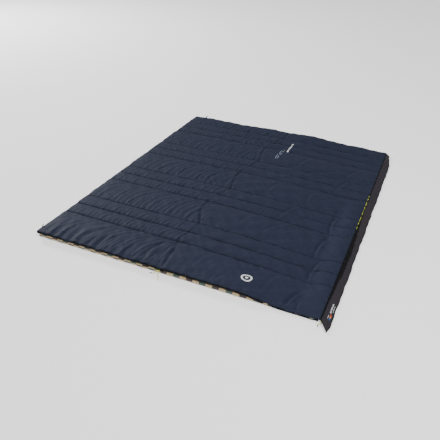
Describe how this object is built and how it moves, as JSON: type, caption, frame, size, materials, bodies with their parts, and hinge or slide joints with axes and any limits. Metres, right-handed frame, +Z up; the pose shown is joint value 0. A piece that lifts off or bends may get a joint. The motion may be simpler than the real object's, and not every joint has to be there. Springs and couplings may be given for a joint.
{
  "type": "camp quilt",
  "caption": "Rectangular zip-up camp quilt opened out flat: quilted dark shell over a checked flannel lining, with an L-shaped zip, draught baffle, pull cords and a lengthwise fold.",
  "frame": {"origin": "centre of the opened quilt's box, on the ground under it", "axes": "+Y from the foot edge to the head edge along the fold, +X across to the side with the draught baffle, +Z up out of the shell"},
  "size_m": [1.8616, 2.3316, 0.06],
  "materials": {
    "shell_cloth": "satin",
    "wadding": "matte",
    "flannel": "matte",
    "zip_tape": "matte",
    "zip_coil_lime": "satin",
    "zip_coil_dark": "satin",
    "zip_end": "satin",
    "zip_stop": "satin",
    "binding": "matte",
    "print_film": "satin",
    "webbing": "matte",
    "baffle_cloth": "satin",
    "woven_label": "matte",
    "slider_metal": "satin",
    "pull_cord": "matte",
    "cord_tip": "satin"
  },
  "bodies": {
    "right_half": {"shell_right": "shell_cloth", "outer_batt_right": "wadding", "inner_batt_right": "wadding", "lining_right": "flannel", "zip_tape_right": "zip_tape", "zip_coil_right": "zip_coil_lime", "zip_pin": "zip_end", "zip_stop_right": "zip_stop", "head_binding_right": "binding", "emblem_ring": "print_film", "emblem_dot": "print_film", "print_line_bold": "print_film", "print_line_fine": "print_film"},
    "left_half": {"shell_left": "shell_cloth", "outer_batt_left": "wadding", "inner_batt_left": "wadding", "lining_left": "flannel", "zip_tape_left": "zip_tape", "zip_coil_left": "zip_coil_dark", "zip_box": "zip_end", "zip_stop_left": "zip_stop", "head_binding_left": "binding", "corner_guard": "webbing", "hang_loop": "webbing"},
    "baffle": {"baffle_casing": "baffle_cloth", "baffle_filling": "wadding", "baffle_label": "woven_label"},
    "foot_slider": {"foot_slider_body": "slider_metal"},
    "foot_pull": {"foot_pull_loop": "slider_metal", "foot_cord_long": "pull_cord", "foot_cord_short": "pull_cord", "foot_cord_tip": "cord_tip"},
    "side_slider": {"side_slider_body": "slider_metal"},
    "side_pull": {"side_pull_loop": "slider_metal", "side_cord": "pull_cord", "side_cord_tip": "cord_tip"}
  },
  "joints": [
    {"name": "fold", "type": "hinge", "parent": "right_half", "child": "left_half", "pos_m": [-0.0292, 0, 0.066], "axis": [0, 1, 0], "range_deg": [0, 180]},
    {"name": "baffle_flap", "type": "hinge", "parent": "right_half", "child": "baffle", "pos_m": [0.8715, 0, 0.0252], "axis": [0, -1, 0], "range_deg": [0, 95]},
    {"name": "foot_slide", "type": "slide", "parent": "left_half", "child": "foot_slider", "axis": [-1, 0, 0], "range_m": [0, 0.8]},
    {"name": "foot_pull_swing", "type": "hinge", "parent": "foot_slider", "child": "foot_pull", "pos_m": [-0.0472, -1.10579, 0.03], "axis": [0, 0, 1], "range_deg": [0, 80]},
    {"name": "side_slide", "type": "slide", "parent": "right_half", "child": "side_slider", "axis": [0, 1, 0], "range_m": [0, 2.17]},
    {"name": "side_pull_swing", "type": "hinge", "parent": "side_slider", "child": "side_pull", "pos_m": [0.8728, -1.08179, 0.01], "axis": [0, 0, 1], "range_deg": [0, 45]}
  ]
}
